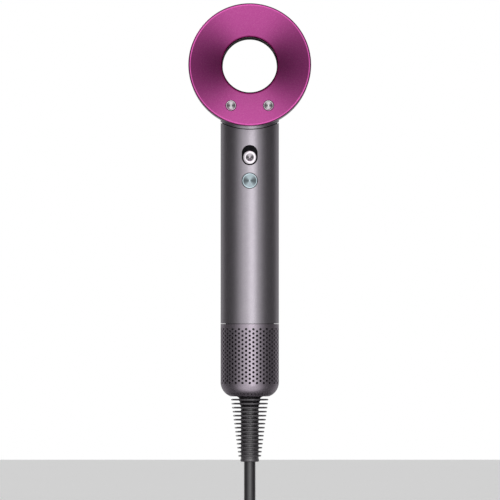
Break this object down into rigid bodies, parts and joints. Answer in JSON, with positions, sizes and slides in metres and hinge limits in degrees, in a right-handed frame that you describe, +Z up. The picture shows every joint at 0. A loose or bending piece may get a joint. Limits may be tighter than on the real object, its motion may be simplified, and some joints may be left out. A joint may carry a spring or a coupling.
{
  "type": "travel hair dryer",
  "caption": "Ring-headed hair dryer with an open bore, magenta rear bell, slim straight handle, slide switch, cold-shot button, perforated filter cage, finned relief and coiled mains cord.",
  "frame": {"origin": "on the axis of the head's through bore, where the handle's axis crosses it", "axes": "+Y the way the air leaves the head, -Y towards the user, +Z up, away from the handle"},
  "size_m": [0.1444, 0.2085, 0.4029],
  "materials": {
    "satin_shell": "satin metallic paint",
    "bell_magenta": "glossy, metallic flake under clear coat",
    "dark_polymer": "moulded",
    "black_polymer": "fine moulded grain",
    "cage_polymer": "satin metallic paint, perforated",
    "spun_metal": "spun",
    "magnet_metal": "nickel plated",
    "steel": "plain",
    "mica": "mica sheet",
    "resistance_wire": "drawn wire",
    "circuit_board": "solder mask",
    "ceramic": "matt",
    "copper": "enamelled copper wire",
    "electrical_steel": "laminated",
    "soft_rubber": "matt",
    "foam": "open-cell foam",
    "mesh_metal": "fine woven mesh",
    "cord_pvc": "smooth flexible jacket",
    "pin_metal": "nickel plated"
  },
  "bodies": {
    "dryer": {"head_shell": "satin_shell", "rear_bell": "bell_magenta", "inner_duct": "black_polymer", "nozzle_ring": "satin_shell", "nozzle_magnets": "magnet_metal", "outlet_baffle": "dark_polymer", "heater_ribs": "mica", "heater_wire": "resistance_wire", "heat_shields": "mica", "thermistor": "ceramic", "thermal_fuse": "ceramic", "control_board": "circuit_board", "head_switches": "black_polymer", "ioniser": "black_polymer", "neck_seal": "soft_rubber", "head_screws": "steel", "handle_tube": "satin_shell", "chassis": "dark_polymer", "cold_shot_spring": "steel", "switch_board": "circuit_board", "power_switch": "black_polymer", "cold_shot_switch": "black_polymer", "power_board": "circuit_board", "capacitors": "black_polymer", "wire_harness": "soft_rubber", "supply_wires": "soft_rubber", "motor_shroud": "dark_polymer", "motor_mounts": "soft_rubber", "diffuser_vanes": "dark_polymer", "bearings": "steel", "stator_core": "electrical_steel", "stator_windings": "copper", "motor_frame": "spun_metal", "motor_board": "circuit_board", "silencer_foam": "foam", "filter_mesh": "mesh_metal", "filter_stem": "dark_polymer", "end_cap": "black_polymer", "strain_relief": "soft_rubber", "cord_clamp": "dark_polymer", "terminal_block": "ceramic", "cord_stub": "cord_pvc", "cord_lead": "cord_pvc", "cord_coil": "cord_pvc", "cord_tail": "cord_pvc", "cord_tie": "soft_rubber", "plug_body": "black_polymer", "plug_pins": "pin_metal", "plug_relief": "soft_rubber"},
    "rotor": {"motor_shaft": "steel", "rotor_magnet": "magnet_metal", "impeller": "spun_metal"},
    "power_slider": {"power_slider": "spun_metal", "slider_shutter": "black_polymer"},
    "cold_shot_button": {"cold_shot_button": "spun_metal"},
    "fan_speed_button": {"fan_speed_button": "spun_metal"},
    "heat_button": {"heat_button": "spun_metal"},
    "cage_lock": {"lock_ring": "dark_polymer"},
    "filter_cage": {"filter_cage": "cage_polymer"}
  },
  "joints": [
    {"name": "rotor_spin", "type": "hinge", "parent": "dryer", "child": "rotor", "pos_m": [0, 0, -0.13], "axis": [0, 0, 1], "continuous": true},
    {"name": "power_slide", "type": "slide", "parent": "dryer", "child": "power_slider", "axis": [0, 0, 1], "range_m": [0, 0.0028]},
    {"name": "cold_shot_press", "type": "slide", "parent": "dryer", "child": "cold_shot_button", "axis": [0, 1, 0], "range_m": [0, 0.0012], "stiffness_N_per_m": 900, "springref_m": -0.0006, "deforming": ["cold_shot_spring"]},
    {"name": "fan_speed_press", "type": "slide", "parent": "dryer", "child": "fan_speed_button", "axis": [0, 1, 0], "range_m": [0, 0.0007], "stiffness_N_per_m": 1500, "springref_m": -0.0005},
    {"name": "heat_press", "type": "slide", "parent": "dryer", "child": "heat_button", "axis": [0, 1, 0], "range_m": [0, 0.0007], "stiffness_N_per_m": 1500, "springref_m": -0.0005},
    {"name": "cage_pull", "type": "slide", "parent": "dryer", "child": "cage_lock", "axis": [0, 0, -1], "range_m": [0, 0.056]},
    {"name": "cage_twist", "type": "hinge", "parent": "cage_lock", "child": "filter_cage", "pos_m": [0, 0, -0.18], "axis": [0, 0, 1], "range_deg": [0, 20]}
  ]
}
